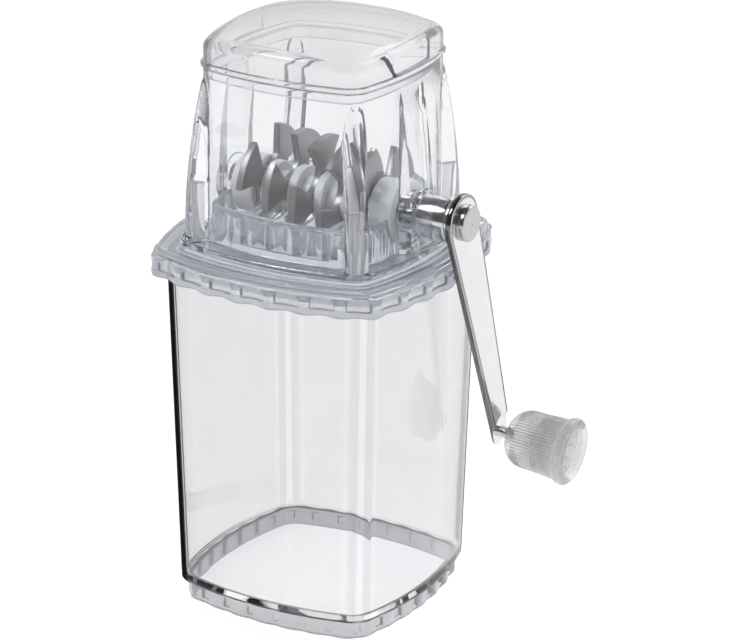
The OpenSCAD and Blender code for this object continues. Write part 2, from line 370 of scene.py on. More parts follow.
def painted_corner_bands(tree, upright):
    """Painted shade either side of each corner and a painted highlight right on the corner, on upright
    walls.
    """
    stops = [(0.0, 1.0), (0.1, 1.0), (0.14, 0.86), (0.36, 0.88), (0.46, 0.97), (0.52, 0.97), (0.62, 0.93)]
    made = node(tree, "ShaderNodeMix")
    made.data_type = "RGBA"
    made.inputs["A"].default_value = (0.93, 0.93, 0.93, 1)
    tree.links.new(upright, made.inputs["Factor"])
    painted_corners = ramp(tree, corner_off(tree), [(at, grey(v)) for at, v in stops])
    tree.links.new(painted_corners, made.inputs["B"])
    return made.outputs["Result"]


# the heights over which the milky tone of a moulding changes: its lower end, and one over its span
MILK_BASE = 0.145
MILK_SCALE = 33.0


def clear_plastic(
    name, face, edge, rough, dark_edge,
    ripple=0.02, start=0.62, painted_corners=False, milk=(), cloud=(), gloss=1.0, ior=1.49,
):
    """Clear moulding with faint ripple and scratches.

    face tints the wall seen square on, and edge, from start on, tints the wall seen edge-on with painted
    shade.
    dark_edge is how much painted shade, a dark diffuse in the colour edge, is mixed into an upright wall
    seen edge-on from inside. milk and cloud are ramps over the height: a tone and its share.
    """
    mat, tree, bsdf = new_material(name, face, IOR=ior, Transmission_Weight=1.0, Roughness=rough)
    bsdf.inputs["Specular Tint"].default_value = (*grey(gloss), 1)
    facing = node(tree, "ShaderNodeLayerWeight", Blend=0.5).outputs["Facing"]
    level = maths(tree, "ABSOLUTE", parts_of(tree, "Normal")["Z"])
    upright = ramp(tree, level, [(0.35, grey(1)), (0.75, grey(0))])
    # the tint runs to the painted edge shade as the wall turns edge-on
    tint = ramp(tree, facing, [(0.0, face), (start, scaled(face, 0.97)), (0.97, edge)])
    haze = noise(tree, object_space(tree), 60.0, 2.0)
    tint = times(tree, tint, ramp(tree, haze, [(0.3, grey(0.985)), (0.7, grey(1.0))]))
    # painted shade and painted highlight at the corners of upright walls
    if painted_corners:
        tint = times(tree, tint, painted_corner_bands(tree, upright))
    tree.links.new(tint, bsdf.inputs["Base Color"])
    scratches = noise(tree, object_space(tree, (1, 1, 0.08)), 900.0, 4.0, 0.7)
    wear = ramp(tree, scratches, [(0.5, grey(rough)), (0.85, grey(rough + 0.03))])
    tree.links.new(wear, bsdf.inputs["Roughness"])
    flow = noise(tree, object_space(tree, (1, 1, 0.35)), 45.0, 1.0)
    bump(tree, bsdf, flow, ripple, 0.0006)
    # painted shade: a dark diffuse in the colour edge, mixed into upright walls seen edge-on from inside
    inside = tree.nodes.new("ShaderNodeNewGeometry").outputs["Backfacing"]
    painted_edge_shade = ramp(tree, facing, [(0.265, grey(0)), (0.3, grey(dark_edge))])
    share = maths(tree, "MULTIPLY", maths(tree, "MULTIPLY", inside, painted_edge_shade), upright)
    if painted_corners:
        # painted shade on the outermost sliver of a rounded corner, where the wall is seen edge-on
        corner = ramp(tree, corner_off(tree), [(0.42, grey(1)), (0.5, grey(0))])
        rim = ramp(tree, facing, [(0.4, grey(0)), (0.46, grey(0.55)), (0.57, grey(0.97))])
        painted_corner_shade = maths(tree, "MULTIPLY", maths(tree, "MULTIPLY", corner, rim), upright)
        share = maths(tree, "MAXIMUM", share, painted_corner_shade)
    dark = node(tree, "ShaderNodeBsdfDiffuse", Color=(*edge, 1))
    body = blend(tree, share, bsdf.outputs[0], dark.outputs[0])
    if milk:
        # slightly milky plastic, whose tone follows how thick the moulding is at each height
        above = maths(tree, "SUBTRACT", parts_of(tree, "Object")["Z"], MILK_BASE)
        height = maths(tree, "MULTIPLY", above, MILK_SCALE)
        cloudy = tree.nodes.new("ShaderNodeBsdfDiffuse")
        tree.links.new(ramp(tree, height, milk), cloudy.inputs["Color"])
        body = blend(tree, ramp(tree, height, cloud), body, cloudy.outputs[0])
    # lamps shine through clear plastic
    lamp = tree.nodes.new("ShaderNodeLightPath").outputs["Is Shadow Ray"]
    through = node(tree, "ShaderNodeBsdfTransparent", Color=(*[sqrt(c) for c in face], 1))
    lit = blend(tree, lamp, body, through.outputs[0])
    tree.links.new(lit, tree.nodes["Material Output"].inputs["Surface"])
    return mat


def moulded_plastic(name, color, rough):
    """Opaque pale plastic with a fine grain."""
    mat, tree, bsdf = new_material(name, color, Roughness=rough, Subsurface_Weight=0.25)
    bsdf.inputs["Subsurface Radius"].default_value = (0.004, 0.004, 0.004)
    bsdf.inputs["Subsurface Scale"].default_value = 1.0
    mottle = noise(tree, object_space(tree), 140.0, 4.0)
    tone = ramp(tree, mottle, [(0.35, scaled(color, 0.93)), (0.65, color)])
    tree.links.new(tone, bsdf.inputs["Base Color"])
    grain = noise(tree, object_space(tree), 2500.0, 3.0)
    wear = ramp(tree, grain, [(0.3, grey(rough - 0.06)), (0.7, grey(rough + 0.1))])
    tree.links.new(wear, bsdf.inputs["Roughness"])
    bump(tree, bsdf, grain, 0.12, 0.00005)
    return mat


def metal(name, color, rough, spread, stretch, scale, height=0.0, dark=0.88):
    """Metal with brush or polish lines along one axis, and faint smudges."""
    mat, tree, bsdf = new_material(name, color, Metallic=1.0, Roughness=rough)
    smudge = noise(tree, object_space(tree), 55.0, 3.0)
    tone = ramp(tree, smudge, [(0.3, scaled(color, dark)), (0.62, color)])
    tree.links.new(tone, bsdf.inputs["Base Color"])
    lines = noise(tree, object_space(tree, stretch), scale, 5.0, 0.65)
    wear = ramp(tree, lines, [(0.35, grey(rough)), (0.75, grey(rough + spread))])
    tree.links.new(wear, bsdf.inputs["Roughness"])
    bump(tree, bsdf, lines, height, 0.00004)
    return mat


def turned_metal(name, color, rough, centre, pitch):
    """A faced disc: fine rings round the shaft line."""
    mat, tree, bsdf = new_material(name, color, Metallic=1.0, Roughness=rough, Anisotropic=0.55)
    coord = tree.nodes.new("ShaderNodeTexCoord")
    shift = tree.nodes.new("ShaderNodeMapping")
    shift.inputs["Location"].default_value = tuple(-c for c in centre)
    shift.inputs["Scale"].default_value = (0, 1, 1)
    tree.links.new(coord.outputs["Object"], shift.inputs["Vector"])
    length = tree.nodes.new("ShaderNodeVectorMath")
    length.operation = "LENGTH"
    tree.links.new(shift.outputs["Vector"], length.inputs[0])
    wave = maths(tree, "SINE", maths(tree, "MULTIPLY", length.outputs["Value"], 2 * pi / pitch))
    rings = maths(tree, "MULTIPLY_ADD", wave, 0.5, 0.5)
    tone = ramp(tree, rings, [(0.0, scaled(color, 0.86)), (1.0, color)])
    tree.links.new(tone, bsdf.inputs["Base Color"])
    wear = ramp(tree, rings, [(0.0, grey(rough)), (1.0, grey(rough + 0.12))])
    tree.links.new(wear, bsdf.inputs["Roughness"])
    bump(tree, bsdf, rings, 0.25, 0.00003)
    return mat


# the container's wall, with painted corner shade and highlight and painted dark edges
CLEAR = clear_plastic(
    "clear_wall", (0.922, 0.924, 0.93), (0.004, 0.004, 0.006), 0.0, dark_edge=1.0, painted_corners=True, gloss=0.15
)
CLEAR_HEAD = clear_plastic(
    "clear_head", (0.925, 0.93, 0.94), (0.3, 0.31, 0.34), 0.0, dark_edge=0.25, ripple=0.01
)
CLEAR_LID = clear_plastic(
    "clear_lid", (0.94, 0.945, 0.955), (0.06, 0.065, 0.09), 0.0, dark_edge=0.6, ripple=0.01,
    milk=evenly((0.86, 0.865, 0.88)), cloud=evenly(0.15),
)
# from the wavy lip of the collar, over the collar's shoulder, to the tray insert
LIP, COLLAR, INSERT = (0.66, 0.675, 0.725), (0.76, 0.785, 0.84), (0.8, 0.82, 0.87)
LIP_END, COLLAR_START, COLLAR_END, INSERT_START = 0.11, 0.14, 0.4, 0.43


def tinted(lip, collar_low, collar_high, insert):
    """Ramp stops over the height of the collar and the tray."""
    return [
        (0.0, lip), (LIP_END, lip), (COLLAR_START, collar_low),
        (COLLAR_END, collar_high), (INSERT_START, insert), (1.0, insert),
    ]


TINTED = clear_plastic(
    "tinted_wall", (0.9, 0.912, 0.95), (0.3, 0.32, 0.4), 0.02, dark_edge=0.3,
    milk=tinted(LIP, COLLAR, COLLAR, INSERT), cloud=tinted(grey(0.4), grey(0.22), grey(0.24), grey(0.14)),
)
PANE = clear_plastic(
    "tinted_pane", (0.95, 0.95, 0.95), (0.5, 0.5, 0.52), 0.02, dark_edge=0.1,
    milk=evenly((0.93, 0.93, 0.92)), cloud=evenly(0.45),
)
# painted shade round each window pane of the collar
PANE_EDGE_SHADE = clear_plastic(
    "pane_edge_shade", (0.6, 0.61, 0.66), (0.1, 0.1, 0.13), 0.02, dark_edge=0.5,
    milk=evenly((0.2, 0.21, 0.24)), cloud=evenly(0.4),
)
# painted shade in the fold at one end of the lid's grip
FOLD_SHADE = clear_plastic(
    "lid_fold_shade", (0.45, 0.48, 0.58), (0.05, 0.05, 0.08), 0.0, dark_edge=0.6,
    milk=evenly((0.035, 0.04, 0.075)), cloud=evenly(0.85),
)
CLEAR_FOOT = clear_plastic(
    "clear_foot", (0.86, 0.865, 0.88), (0.2, 0.21, 0.23), 0.02, dark_edge=0.6,
    milk=evenly((0.34, 0.35, 0.365)), cloud=evenly(0.35),
)
FROSTED = clear_plastic(
    "frosted_peg", (0.93, 0.935, 0.94), (0.5, 0.5, 0.52), 0.05, dark_edge=0.3,
    milk=evenly((0.86, 0.87, 0.89)), cloud=evenly(0.22),
)
# the skin of an air space: an index of refraction close to 1 hardly bends what is seen through it
THIN = clear_plastic(
    "bore_skin", (0.97, 0.97, 0.98), (0.45, 0.46, 0.5), 0.0, dark_edge=0.0, ripple=0.0, start=0.8, ior=1.02
)
KNOB_CLEAR = clear_plastic(
    "clear_knob", (0.96, 0.96, 0.955), (0.4, 0.4, 0.4), 0.03, dark_edge=0.2, ripple=0.0,
    milk=evenly((0.84, 0.84, 0.83)), cloud=evenly(0.25),
)
# painted shade in the grooves between the knob's ribs
KNOB_GROOVE_SHADE = clear_plastic(
    "knob_groove_shade", (0.8, 0.8, 0.8), (0.2, 0.2, 0.2), 0.03, dark_edge=0.4, ripple=0.0,
    milk=evenly((0.5, 0.5, 0.5)), cloud=evenly(0.35),
)
PALE = moulded_plastic("pale_moulding", (0.83, 0.845, 0.86), 0.32)
STEEL = metal("blade_steel", (0.36, 0.364, 0.372), 0.34, 0.2, (1, 1, 0.05), 1400.0, 0.15)
POLISH = (1, 1, 0.06)  # polish lines run up and down
CHROME = metal("crank_chrome", (0.72, 0.73, 0.74), 0.1, 0.1, POLISH, 1500.0, 0.004, 0.95)


def cut_edges(mat):
    """The rim of a plate, whose normal turns away from the X axis, gets a darker base colour than its faces.
    """
    tree = mat.node_tree
    socket = tree.nodes["Principled BSDF"].inputs["Base Color"]
    polished = socket.links[0].from_socket
    flat = maths(tree, "ABSOLUTE", parts_of(tree, "Normal")["X"])
    rim_darkening = ramp(tree, flat, [(0.6, grey(0.25)), (0.98, grey(1.0))])
    tree.links.new(times(tree, polished, rim_darkening), socket)


ARM_METAL = metal("arm_chrome", (0.76, 0.765, 0.77), 0.08, 0.1, POLISH, 1500.0, 0.02, 0.96)
cut_edges(ARM_METAL)
# a painted dark reflection on the chamfer round the arm's outer face
ARM_RIM_REFLECTION = metal("arm_rim_painted_reflection", (0.3, 0.305, 0.31), 0.12, 0.1, POLISH, 1500.0, 0.02, 0.95)

# ---------------------------------------------------------------- container and foot

FOOT_H = 8.0
FOOT_M = 48.6
BASE_M = 51.2
RIM_M = 55.4
RIM_Z = 154.6
WALL = 2.6
FLOOR_Z = 10.8
WALL_STEPS = 14


def container_part():
    def level(inset, z):
        """A loop on the tapered wall."""
        m = BASE_M + (RIM_M - BASE_M) * max(z - FOOT_H - 1, 0) / (RIM_Z - FOOT_H - 1)
        return ring(perimeter(m, CORNER_R), inset, z)

    def drawn_in(loop, share):
        return [(x * share, y * share, z) for x, y, z in loop]

    under = level(3.2, FOOT_H)
    loops = [drawn_in(under, share) for share in (0.2, 0.6)]
    loops += [under]
    loops += [level(0.8 - dx, FOOT_H + 0.9 - dy) for dx, dy in fillet(0.8, 5, 90, -90)]
    steps = range(1, WALL_STEPS + 1)
    rise = [FOOT_H + 2 + (RIM_Z - FOOT_H - 3.2) * i / WALL_STEPS for i in steps]
    loops += [level(0, z) for z in rise]
    loops += [level(0.8 - dx, RIM_Z - 0.8 + dy) for dx, dy in fillet(0.8, 5, 0, 90)]
    loops += [level(WALL - 0.8 + dx, RIM_Z - 0.8 + dy) for dx, dy in fillet(0.8, 5, 90, -90)]
    fall = [RIM_Z - 1 - (RIM_Z - FLOOR_Z - 5) * i / WALL_STEPS for i in steps]
    loops += [level(WALL, z) for z in fall]
    loops += [level(WALL + 1.5 - dx, FLOOR_Z + 1.5 - dy) for dx, dy in fillet(1.5, 6, 0, 90)]
    loops += [drawn_in(loops[-1], share) for share in (0.9, 0.6, 0.2)]
    return loft(loops)


piece("container_shell", container_part(), "container", CLEAR, ["container"])

WAVES = 7
FLUTE_STEPS = 28


def wave(p):
    """The scallops round a quarter, from -1 to 1, at a point of even_perimeter."""
    return cos(2 * pi * WAVES * p[4])


def in_wave(p, pitch):
    """How far a point is from the middle of its scallop, for scallops pitch apart."""
    return ((p[4] * WAVES) % 1 - 0.5) * pitch


def foot_part():
    pts = even_perimeter(FOOT_M, CORNER_R, WAVES * FLUTE_STEPS)
    flute_depth = 0.4
    pitch = 12.0

    def flute(base):
        return lambda i, p: base - flute_depth * wave(p)

    def wall(z):
        """The outside, with a shallow pocket in each scallop."""
        def depth(i, p):
            pocket = box_step(in_wave(p, pitch), 1.7, 0.5) * box_step(z - 4.2, 1.9, 0.5)
            return 0.7 * pocket - flute_depth * wave(p)

        return depth

    inner = 2.7
    loops = [ring(pts, inner, 0.3), ring(pts, inner - 0.3, 0)]
    loops += [ring(pts, flute(0.7 - dx), 0.7 - dy) for dx, dy in fillet(0.7, 4, 90, -90)]
    loops += [ring(pts, wall(z), z) for z in (1.6, 2.1, 2.5, 4.2, 5.9, 6.3, 6.8)]
    loops += [ring(pts, flute(0.5 - dx), FOOT_H - 0.5 + dy) for dx, dy in fillet(0.5, 4, 0, 90)]
    loops += [ring(pts, inner, FOOT_H)]
    return loft(loops, closed=True)


piece("foot_skirt", foot_part(), "container", CLEAR_FOOT, ["foot_ring"])

# ---------------------------------------------------------------- collar

SKIRT_M = 61.4
SKIRT_R = CORNER_R - 3
SKIRT_TOP = 154.1
SKIRT_FOOT = 145.5
SHOULDER_M = 59.3
SHOULDER_Z = 157.2
LEDGE_Z = 156.4
PLATE_Z = 154.9
LOCATOR_M = 52.2
TRAY_M = 37.6


def glazed(loops, start, levels, steps, pitch, share):
    """Face marks for a wall with windows: 0 plain, 1 pane, 2 the painted shade round the pane."""
    n = len(loops[0])
    marks = [0] * (n * len(loops))
    for j in range(len(levels) - 1):
        z = (levels[j] + levels[j + 1]) / 2
        for i in range(n):
            part = share(((i + 0.5) % steps / steps - 0.5) * pitch, z)
            marks[(start + j) * n + i] = 1 if part > 0.8 else 2 if part > 0.2 else 0
    return marks


def collar_part():
    steps = WAVES * FLUTE_STEPS
    skirt = even_perimeter(SKIRT_M, SKIRT_R, steps)
    shoulder = even_perimeter(SHOULDER_M, CORNER_R - 2, steps)
    locator = even_perimeter(LOCATOR_M, CORNER_R - WALL, steps)
    mouth = even_perimeter(TRAY_M, CORNER_R - 4, steps)
    pitch = 15.0

    def window(along, z):
        """1 in a window of the skirt, 0 outside it; the windows are narrower at the top."""
        wide = 5.2 - 1.5 * smooth((z - 152.0) / 0.8)
        return box_step(along, wide, 0.7) * box_step(z - 151.1, 2.4, 0.6)

    def outer(z, base=0.0):
        return lambda i, p: base - 0.5 * wave(p) + 1.1 * window(in_wave(p, pitch), z)

    def lip(i, p):
        return SKIRT_FOOT + 0.45 * (1 - wave(p)) / 2

    loops = [ring(skirt, 2.4, lambda i, p: lip(i, p) + 0.3), ring(skirt, 2.1, lip)]
    for dx, dy in fillet(0.8, 4, 90, -90):
        loops.append(ring(skirt, outer(0, 0.8 - dx), lambda i, p, d=dy: lip(i, p) + 0.8 - d))
    start = len(loops)
    levels = [146.9, 147.8, 148.3, 148.5, 148.7, 148.9, 149.1, 150.2, 151.3, 151.8, 152.1, 152.4]
    levels += [152.7, 153.0, 153.2, 153.4, 153.6, 153.8]
    loops += [ring(skirt, outer(z), z) for z in levels]
    loops += [ring(skirt, outer(0, 0.5 - dx), SKIRT_TOP - 0.5 + dy) for dx, dy in fillet(0.5, 3, 0, 90)]
    loops += [ring(shoulder, -0.2, SKIRT_TOP)]
    loops += [ring(shoulder, 0, z) for z in (SKIRT_TOP + 0.3, SHOULDER_Z - 0.8)]
    loops += [ring(shoulder, 0.8 - dx, SHOULDER_Z - 0.8 + dy) for dx, dy in fillet(0.8, 4, 20, 70)]
    loops += [ring(shoulder, 1.6, SHOULDER_Z - 0.2), ring(shoulder, 1.9, LEDGE_Z)]
    loops += [ring(shoulder, 6.5, LEDGE_Z), ring(mouth, -0.4, LEDGE_Z), ring(mouth, 0, LEDGE_Z - 0.4)]
    loops += [ring(mouth, 0, PLATE_Z + 0.3), ring(mouth, -0.3, PLATE_Z)]
    loops += [ring(locator, 1.8, PLATE_Z), ring(locator, 1.8, PLATE_Z - 5.2)]
    loops += [ring(locator, 1.5, PLATE_Z - 5.5), ring(locator, 0.3, PLATE_Z - 5.5)]
    loops += [ring(locator, 0, PLATE_Z - 5.2), ring(locator, 0, PLATE_Z)]
    loops += [ring(skirt, 2.9, PLATE_Z), ring(skirt, 2.4, PLATE_Z - 0.5)]
    return loft(loops, closed=True), glazed(loops, start, levels, FLUTE_STEPS, pitch, window)


collar, panes = collar_part()
piece(
    "collar_skirt", collar, "head", TINTED, ["collar"],
    sharp=50, marks=panes, more=[PANE, PANE_EDGE_SHADE],
)

# ---------------------------------------------------------------- tray

SHAFT_Z = 173.6
HOPPER_BASE = 157.4
TRAY_TOP = 173.8
FLANGE_M = 50.2
NOTCH_R = 13.3


def tray_part():
    fine = [s * (NOTCH_R + e) for s in (-1, 1) for e in (-0.02, 0.02)]
    fine += [0.75 * i + 0.01 for i in range(-40, 41)]
    pts = perimeter(TRAY_M, CORNER_R - 4, fine)
    flange = perimeter(FLANGE_M - 1, CORNER_R - 2, fine)
    rib_pitch = 9.4

    def top(i, p):
        """Height of the rim, with a round notch under the shaft on both X faces."""
        near = abs(p[1]) < NOTCH_R and abs(p[0]) > TRAY_M - 8
        return SHAFT_Z - sqrt(NOTCH_R**2 - p[1] ** 2) if near else TRAY_TOP

    def rib(base):
        """The ribbed inside of the funnel, plain near its corners."""
        def depth(i, p):
            along = p[1] if abs(p[0]) > abs(p[1]) else p[0]
            fade = smooth((3.4 * rib_pitch - abs(along)) / 2)
            return base - 0.45 * fade * (1 + cos(2 * pi * along / rib_pitch))

        return depth

    def between(t, low=0.0):
        """The share t of the way from the hopper's base to the rim less low."""
        return lambda i, p: HOPPER_BASE + (top(i, p) - low - HOPPER_BASE) * t

    low, high = LEDGE_Z + 0.06, HOPPER_BASE - 0.06
    loops = [ring(flange, 0.3, high), ring(flange, 0, high - 0.3)]
    loops += [ring(flange, 0, low + 0.2), ring(flange, 0.2, low)]
    loops += [ring(pts, 1.8, low)]
    loops += [ring(pts, 1.8, between(t, 0.4)) for t in (0.0, 0.33, 0.66, 1.0)]
    loops += [ring(pts, 1.4, between(1.0)), ring(pts, 0.4, between(1.0))]
    loops += [ring(pts, 0, between(1.0, 0.4)), ring(pts, 0, between(1.0, 1.2))]
    loops += [ring(pts, rib(0), between(1.0, 1.6)), ring(pts, rib(0), between(0.5, 1.6))]
    loops += [ring(pts, rib(0), high)]
    return loft(loops, closed=True)


PILLAR_D = 52.6
PILLAR_ARC = 290.0
PILLAR_MID_Z = 160
PEG_TOP = 184.0


def lean(z):
    """Distance of a pillar's middle from the shaft's middle, along the diagonal."""
    return PILLAR_D - PILLAR_ARC + sqrt(PILLAR_ARC**2 - (z - PILLAR_MID_Z) ** 2)


def peg(quarter):
    d = (PILLAR_D - 0.4) / sqrt(2)
    cx, cy = turned(d, d, quarter)
    outline = [(HOPPER_BASE - 0.2, 1.9), (PEG_TOP - 1.0, 1.9), (PEG_TOP - 0.9, 2.15)]
    outline += [(PEG_TOP - 0.3, 2.15), (PEG_TOP, 1.8)]
    return loft([circle(cx, cy, r, 24, z) for z, r in outline])


piece("tray_insert", tray_part(), "head", TINTED, ["tray"], sharp=45)
piece("tray_pegs", together(*[peg(k) for k in range(4)]), "head", FROSTED)

# ---------------------------------------------------------------- hopper

HOPPER_M = 41.0
HOPPER_TOP = 231.4
HOPPER_WALL = 2.0
PILLAR_R = 4.7
PILLAR_WALL = 1.25
PANEL_HALF = 9.4
PANEL_X = 46.4
PANEL_ARC = 420


def pillar_out(p, z):
    """How far a corner pillar stands out of the hopper wall along the normal at p."""
    sx, sy = (1 if p[0] > 0 else -1), (1 if p[1] > 0 else -1)
    d = lean(z) / sqrt(2)
    ox, oy = p[0] - sx * d, p[1] - sy * d
    along = ox * p[2] + oy * p[3]
    rest = along * along - ox * ox - oy * oy + PILLAR_R**2
    if rest <= 0 or hypot(ox, oy) > 12:
        return 0.0
    out = max(-along + sqrt(rest), 0.0)
    # a small raised rim where the pillar leaves the wall
    return out + 0.45 * smooth(out / 0.35)


def panel_out(p, z):
    """How far the bearing panel on an X face stands out at p."""
    side = smooth((PANEL_HALF + 0.6 - abs(p[1])) / 1.2)
    if abs(p[0]) < abs(p[1]):
        return 0.0
    x = PANEL_X - PANEL_ARC + sqrt(PANEL_ARC**2 - (z - HOPPER_BASE) ** 2)
    return side * max(x - abs(p[0]), 0.0)


def hopper_part():
    extra = [s * (PANEL_HALF + e) for s in (-1, 1) for e in (-0.6, -0.36, -0.12, 0.12, 0.36, 0.6)]
    wall = perimeter(HOPPER_M, CORNER_R - 1, extra)
    flange = perimeter(FLANGE_M, CORNER_R - 2, extra)

    def outside(z, base=0.0):
        return lambda i, p: base - max(pillar_out(p, z), panel_out(p, z))

    loops = [ring(wall, HOPPER_WALL, z) for z in (HOPPER_BASE, 176.0, 195.0, 213.0, HOPPER_TOP - 0.6)]
    loops += [ring(wall, HOPPER_WALL - 0.6 + dx, HOPPER_TOP - 0.6 + dy) for dx, dy in fillet(0.6, 3, 30, 60)]
    loops += [ring(wall, 0.6 - dx, HOPPER_TOP - 0.6 + dy) for dx, dy in fillet(0.6, 3, 90, -90)]
    count = 56
    heights = [HOPPER_TOP - 1.2 - (HOPPER_TOP - 1.2 - 159.3) * (i / count) for i in range(count + 1)]
    loops += [ring(wall, outside(z), z) for z in heights]
    loops += [ring(wall, outside(159.0, -0.3), 159.0)]
    loops += [ring(flange, 1.5, 159.0), ring(flange, 1.4, 159.1)]
    loops += [ring(flange, 0.7 - dx, 159.1 + dy) for dx, dy in fillet(0.7, 12, 180, -180)]
    loops += [ring(flange, 0, 157.8), ring(flange, 0.4, HOPPER_BASE)]
    return loft(loops, closed=True)


def hollow_in_pillar(quarter):
    """The air space in a pillar: it follows the outside and fades out towards the top."""
    corner = corner_at(HOPPER_M, CORNER_R - 1) * sqrt(2)
    skin, bore = CORNER_R - 1 + 0.1, PILLAR_R - PILLAR_WALL
    steps = 14
    loops = []
    z = HOPPER_BASE + 0.25
    while lean(z) - corner + bore - skin > 0.25:
        mid = lean(z) - corner

        def reach(w):
            """Near and far side of the hollow, w off the diagonal."""
            arc = sqrt(max(bore**2 - w * w, 0.0))
            return max(sqrt(skin**2 - w * w), mid - arc), mid + arc

        # halve the interval until w is where both sides meet
        low, high = 0.0, bore
        for _ in range(30):
            w = (low + high) / 2
            near, far = reach(w)
            low, high = (w, high) if far > near else (low, w)
        side = [low * 0.999 * sin(pi / 2 * (2 * i / steps - 1)) for i in range(steps + 1)]
        loop = [(w, reach(w)[1]) for w in side] + [(w, reach(w)[0]) for w in reversed(side[1:-1])]
        flat = [(corner + e) / sqrt(2) for _, e in loop]
        made = [turned(f - w / sqrt(2), f + w / sqrt(2), quarter) for (w, _), f in zip(loop, flat)]
        loops.append([(x, y, z) for x, y in made])
        z += 1.5
    return loft(loops)


CRISP = 24
hopper = piece(
    "hopper_shell", hopper_part(), "head", CLEAR_HEAD, ["hopper"], sharp=CRISP
)

SHAFT = Matrix.Translation((0, 0, SHAFT_Z))
BUSH_R = 7.5
BOSS_R = 10.6
BOSS_X = 47.0
IDLE_BOSS_X = 46.6


def boolean(target, part, operation):
    """Adds part to target's mesh, or cuts it away."""
    mesh = new_mesh("tool", part, weld=False)
    tool = placed("tool", mesh)
    mod = target.modifiers.new("cut", "BOOLEAN")
    mod.operation = operation
    mod.solver = "EXACT"
    mod.object = tool
    bpy.context.view_layer.update()
    graph = bpy.context.evaluated_depsgraph_get()
    made = bpy.data.meshes.new_from_object(target.evaluated_get(graph))
    target.modifiers.remove(mod)
    old = target.data
    target.data = made
    bpy.data.meshes.remove(old)
    bpy.data.objects.remove(tool)
    bpy.data.meshes.remove(mesh)


boolean(hopper, lathe(barrel(40.5, BOSS_X, BOSS_R, 0.5), SHAFT), "UNION")
boolean(hopper, lathe(barrel(-IDLE_BOSS_X, -40.5, BOSS_R, 0.5), SHAFT), "UNION")
boolean(hopper, lathe([(36, BUSH_R), (BOSS_X + 1, BUSH_R)], SHAFT), "DIFFERENCE")
boolean(hopper, lathe([(2 - IDLE_BOSS_X, BUSH_R), (-36, BUSH_R)], SHAFT), "DIFFERENCE")
shade(hopper.data, CRISP)

piece(
    "pillar_bores", together(*[hollow_in_pillar(k) for k in range(4)]),
    "head", THIN, turn_out=False,
)

# ---------------------------------------------------------------- lid

LID_Z = 231.8
LID_M = 42.1
LID_WALL_M = 41.0
TOTAL_H = 250.0
DOME_R = 127.0
CORNER_LIFT = 2.2
CORNER_XY = 1300


def dome(x, y, drop=0.0):
    """Height of the lid's outer face, or of its inner face, drop below; the corners are a little raised."""
    lift = CORNER_LIFT * min(x * y / CORNER_XY, 1.0) ** 2
    return TOTAL_H - DOME_R + sqrt((DOME_R - drop) ** 2 - x * x - y * y) + lift


def lid_part():
    ends = [s * (14 + e) for s in (-1, 1) for e in (-0.7, -0.45, -0.2, 0.0, 0.2, 0.45, 0.7, 1.1)]
    ends += [-15.5 - 0.4 * i for i in range(18)]
    wall = perimeter(LID_WALL_M, CORNER_R - 1, ends)
    rim = perimeter(LID_M, CORNER_R, ends)
    edge = 3.4
    inner_edge = 2.4
    thick = 2.2
    plug = 2.4
    inside = 4.0

    def over(points, inset, drop, radius, start):
        """A loop on the rounded edge, inset from start, that runs into the dome."""
        loop = []
        for p in points:
            full = start + radius
            x, y = p[0] - full * p[2], p[1] - full * p[3]
            fall = radius - sqrt(max(radius**2 - (full - inset) ** 2, 0.0))
            loop.append((p[0] - inset * p[2], p[1] - inset * p[3], dome(x, y, drop) - fall))
        return loop

    def crown(points, inset, shrink, drop):
        """A loop on the dome, inset and then drawn in towards the middle."""
        loop = []
        for p in points:
            x, y = (p[0] - inset * p[2]) * shrink, (p[1] - inset * p[3]) * shrink
            loop.append((x, y, dome(x, y, drop)))
        return loop

    def grip(share):
        """The shallow finger recess on both X faces."""
        def depth(i, p):
            groove = 0.4 if p[0] * p[1] < 0 else 0.1
            sunk = 0.5 * box_step(p[1], 14, 1.4) + groove * box_step(abs(p[1]) - 14.2, 0.45, 0.8)
            return share * sunk * (abs(p[0]) > abs(p[1]))

        return depth

    shrinks = [0.97, 0.92, 0.85, 0.76, 0.66, 0.55, 0.44, 0.33, 0.22, 0.12, 0.05]
    loops = [crown(wall, inside + inner_edge, s, thick) for s in reversed(shrinks)]
    loops += [crown(wall, inside + inner_edge, 1.0, thick)]
    for i in range(1, 7):
        t = pi / 2 * i / 6
        loops.append(over(wall, inside + inner_edge * (1 - sin(t)), thick, inner_edge, inside))
    loops += [ring(wall, inside, z) for z in (235.0, 231.0, LID_Z - 4.7)]
    loops += [ring(wall, inside - 0.3, LID_Z - 5), ring(wall, plug + 0.3, LID_Z - 5)]
    loops += [ring(wall, plug, LID_Z - 4.7), ring(wall, plug, LID_Z)]
    loops += [ring(rim, 0.5, LID_Z)]
    loops += [ring(rim, 0.5 - dx, LID_Z + 0.5 - dy) for dx, dy in fillet(0.5, 3, 60, -60)]
    loops += [ring(rim, 0.6 - dx, LID_Z + 1.6 + dy) for dx, dy in fillet(0.6, 4, 0, 90)]
    grip_z = LID_Z + 2.9
    loops += [ring(wall, 0, LID_Z + 2.3), ring(wall, grip(1), grip_z)]
    shoulder = [z for _, _, z in over(wall, 0, 0.0, edge, 0.0)]
    for i in range(1, 9):
        level = [grip_z + (z - grip_z) * i / 9 for z in shoulder]
        loops.append(ring(wall, grip(1), lambda k, p: level[k]))
    for i in range(9):
        t = pi / 2 * i / 8
        loop = over(wall, edge * (1 - cos(t)), 0.0, edge, 0.0)
        dent = grip(1 - i / 8)
        loops.append([(x - dent(0, p) * p[2], y, z) for (x, y, z), p in zip(loop, wall)])
    loops += [crown(wall, edge, s, 0.0) for s in shrinks]
    return loft(loops)


lid = lid_part()


